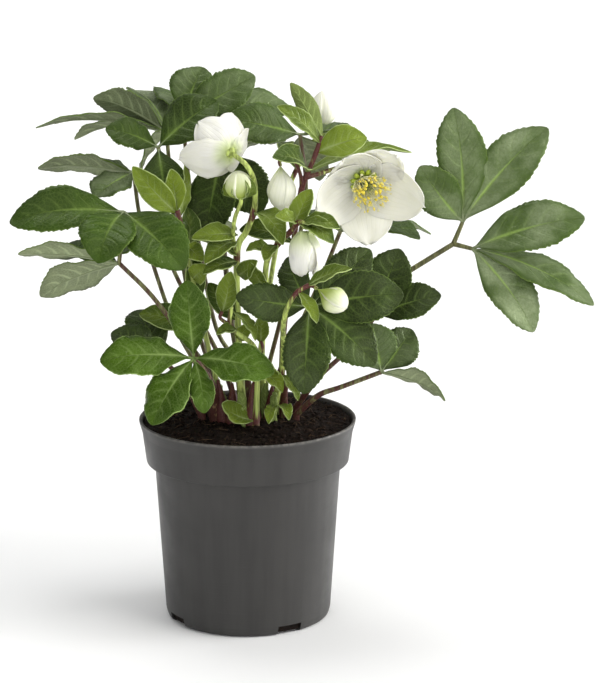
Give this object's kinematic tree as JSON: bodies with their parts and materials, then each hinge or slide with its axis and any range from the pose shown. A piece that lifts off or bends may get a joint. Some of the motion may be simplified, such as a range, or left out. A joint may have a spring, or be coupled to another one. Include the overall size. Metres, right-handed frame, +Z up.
{
  "type": "potted christmas rose",
  "caption": "Flowering christmas rose with dark green toothed fronds, white nodding flowers and buds, rooted in dark soil in a round grey plastic nursery pot.",
  "frame": {"origin": "centre of the pot's flat underside", "axes": "+Z up along the pot's axis; +X to the right of the picture, along the plant's widest spread; the picture looks along +Y"},
  "size_m": [0.3157, 0.1906, 0.3018],
  "materials": {
    "pot_plastic": "dark grey, satin, a little scuffed",
    "soil": "moist dark brown potting soil with fibres, matte",
    "leaf": "dark green leathery leaf, satin",
    "young_leaf": "bright green young leaf, satin",
    "petiole": "brownish green leaf stalk, satin",
    "young_petiole": "reddish purple leaf stalk, satin",
    "stem": "pale green stem and bracts, satin",
    "sepal": "creamy white petal, matte",
    "nectary": "yellow green and waxy, satin",
    "stamen": "yellow and powdery, matte",
    "pistil": "pale green, satin",
    "bud": "green white, satin"
  },
  "bodies": {
    "root": {"pot": "pot_plastic", "soil": "soil", "frond_right_stalk": "petiole", "frond_right_leaflets": "leaf", "frond_left_stalk": "petiole", "frond_left_leaflets": "leaf", "frond_upper_left_stalk": "petiole", "frond_upper_left_leaflets": "leaf", "frond_upper_back_stalk": "petiole", "frond_upper_back_leaflets": "leaf", "frond_middle_left_stalk": "petiole", "frond_middle_left_leaflets": "leaf", "frond_centre_stalk": "petiole", "frond_centre_leaflets": "leaf", "frond_far_left_stalk": "petiole", "frond_far_left_leaflets": "leaf", "frond_back_stalk": "petiole", "frond_back_leaflets": "leaf", "frond_young_stalk": "young_petiole", "frond_young_leaflets": "young_leaf", "frond_low_left_stalk": "petiole", "frond_low_left_leaflets": "leaf", "frond_front_stalk": "petiole", "frond_front_leaflets": "leaf", "frond_low_right_stalk": "petiole", "frond_low_right_leaflets": "leaf", "frond_side_stalk": "petiole", "frond_side_leaflets": "leaf", "frond_rear_left_stalk": "petiole", "frond_rear_left_leaflets": "leaf", "frond_rear_right_stalk": "petiole", "frond_rear_right_leaflets": "leaf", "stem_arched": "stem", "stem_drooping": "stem", "stem_tall": "stem", "stem_young_leaves": "stem", "stem_low_bud": "stem", "stem_far_bloom": "stem", "shoot_low": "stem", "bloom_right_sepals": "sepal", "bloom_right_nectaries": "nectary", "bloom_right_stamens": "stamen", "bloom_right_pistils": "pistil", "bloom_left_sepals": "sepal", "bloom_left_nectaries": "nectary", "bloom_left_stamens": "stamen", "bloom_left_pistils": "pistil", "bud_green": "bud", "bud_hanging": "bud", "bud_far": "sepal", "bud_side": "bud", "bud_white": "sepal"}
  },
  "joints": []
}
